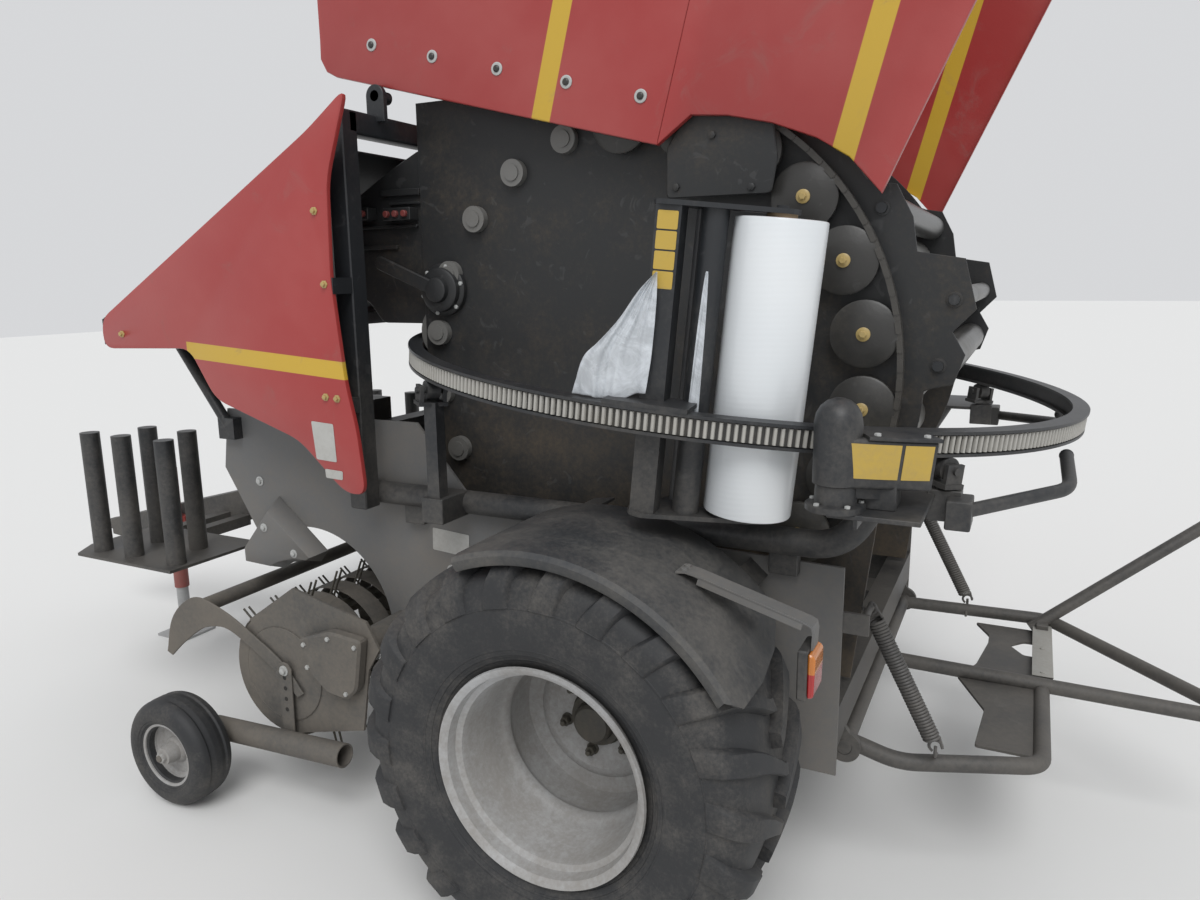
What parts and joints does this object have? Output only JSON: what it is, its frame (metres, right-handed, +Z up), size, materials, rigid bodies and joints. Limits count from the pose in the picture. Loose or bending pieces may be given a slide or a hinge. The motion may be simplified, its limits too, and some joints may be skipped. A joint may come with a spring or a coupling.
{
  "type": "round baler and wrapper combination with a horizontal wrapping ring",
  "caption": "Trailed round baler with a horizontal wrapping ring round its chamber, film dispensers, pickup, raised red hood, jack and rear drop frame.",
  "frame": {"origin": "on the ground below the middle of the machine's length and width, as it stands parked on its wheels and jack", "axes": "+X to the rear of the machine, +Y to its right side, +Z up"},
  "size_m": [5.5597, 2.78, 4.2531],
  "materials": {
    "frame_black": "satin paint",
    "wall_grey": "satin paint",
    "hood_red": "gloss paint, weathered",
    "cover_black": "satin paint",
    "roller_steel": "worn steel",
    "chain_steel": "oiled steel",
    "cast_grey": "painted casting",
    "guard_yellow": "moulded plastic",
    "fender_black": "moulded plastic",
    "lamp_red": "moulded lens",
    "tyre": "dusty rubber",
    "rim_silver": "silver paint",
    "gauge_rubber": "rubber",
    "tine_steel": "worn steel",
    "jack_red": "paint",
    "leg_steel": "zinc plated",
    "film": "stretch film",
    "film_tail": "thin clear film",
    "spring_steel": "coated spring steel"
  },
  "bodies": {
    "chassis": {"main_frame": "frame_black", "drawbar": "frame_black", "side_wall_left": "wall_grey", "side_wall_right": "wall_grey", "carrier_frame": "frame_black", "panel_frame": "frame_black", "front_panels": "hood_red", "front_cover": "cover_black", "ring_guides": "frame_black", "ring_drive": "cast_grey", "chamber_side_left": "frame_black", "chamber_side_right": "frame_black", "front_rollers": "roller_steel", "rear_rollers": "roller_steel", "drive_chain": "chain_steel", "net_rollers": "roller_steel", "gearbox": "cast_grey", "pto_guard": "guard_yellow", "spool_rack": "frame_black", "jack_tube": "jack_red", "fenders": "fender_black", "lamp_brackets": "wall_grey", "lamps": "lamp_red", "springs": "spring_steel"},
    "wheel_left": {"tyre_left": "tyre", "rim_left": "rim_silver"},
    "wheel_right": {"tyre_right": "tyre", "rim_right": "rim_silver"},
    "jack": {"jack_leg": "leg_steel"},
    "pickup": {"pickup_frame": "frame_black", "wind_guard": "frame_black", "gauge_arms": "frame_black"},
    "reel": {"pickup_reel": "tine_steel"},
    "gauge_left": {"gauge_wheel_left": "gauge_rubber"},
    "gauge_right": {"gauge_wheel_right": "gauge_rubber"},
    "hood": {"hood_side_left": "hood_red", "hood_side_right": "hood_red", "hood_shell": "hood_red"},
    "ring": {"wrap_ring": "frame_black", "ring_chain": "chain_steel", "dispenser_left": "frame_black", "dispenser_right": "frame_black", "film_tail": "film_tail"},
    "film_left": {"film_roll_left": "film"},
    "film_right": {"film_roll_right": "film"},
    "drop": {"drop_frame": "frame_black"}
  },
  "joints": [
    {"name": "wheel_left_spin", "type": "hinge", "parent": "chassis", "child": "wheel_left", "pos_m": [0.82, -1.14, 0.586], "axis": [0, 1, 0], "continuous": true},
    {"name": "wheel_right_spin", "type": "hinge", "parent": "chassis", "child": "wheel_right", "pos_m": [0.82, 1.14, 0.586], "axis": [0, 1, 0], "continuous": true},
    {"name": "jack_slide", "type": "slide", "parent": "chassis", "child": "jack", "axis": [0, 0, 1], "range_m": [0, 0.24]},
    {"name": "pickup_lift", "type": "hinge", "parent": "chassis", "child": "pickup", "pos_m": [-0.06, 0, 0.64], "axis": [0, 1, 0], "range_deg": [0, 18]},
    {"name": "reel_spin", "type": "hinge", "parent": "pickup", "child": "reel", "pos_m": [-0.43, 0, 0.47], "axis": [0, 1, 0], "continuous": true},
    {"name": "gauge_left_spin", "type": "hinge", "parent": "pickup", "child": "gauge_left", "pos_m": [-0.77, -1.2, 0.2], "axis": [0, 1, 0], "continuous": true},
    {"name": "gauge_right_spin", "type": "hinge", "parent": "pickup", "child": "gauge_right", "pos_m": [-0.77, 1.2, 0.2], "axis": [0, 1, 0], "continuous": true},
    {"name": "hood_lift", "type": "hinge", "parent": "chassis", "child": "hood", "pos_m": [-0.08, 0, 2.42], "axis": [0, 1, 0], "range_deg": [0, 68]},
    {"name": "ring_turn", "type": "hinge", "parent": "chassis", "child": "ring", "pos_m": [0.881, 0, 1.506], "axis": [0.0976, 0, 0.9952], "range_deg": [-38, 4]},
    {"name": "film_left_spin", "type": "hinge", "parent": "ring", "child": "film_left", "pos_m": [1.24737, -0.92978, 1.47008], "axis": [0.0976, 0, 0.9952], "continuous": true},
    {"name": "film_right_spin", "type": "hinge", "parent": "ring", "child": "film_right", "pos_m": [0.51463, 0.92978, 1.54192], "axis": [0.0976, 0, 0.9952], "continuous": true},
    {"name": "drop_tilt", "type": "hinge", "parent": "chassis", "child": "drop", "pos_m": [1.46, 0, 0.47], "axis": [0, 1, 0], "range_deg": [0, 12]}
  ]
}
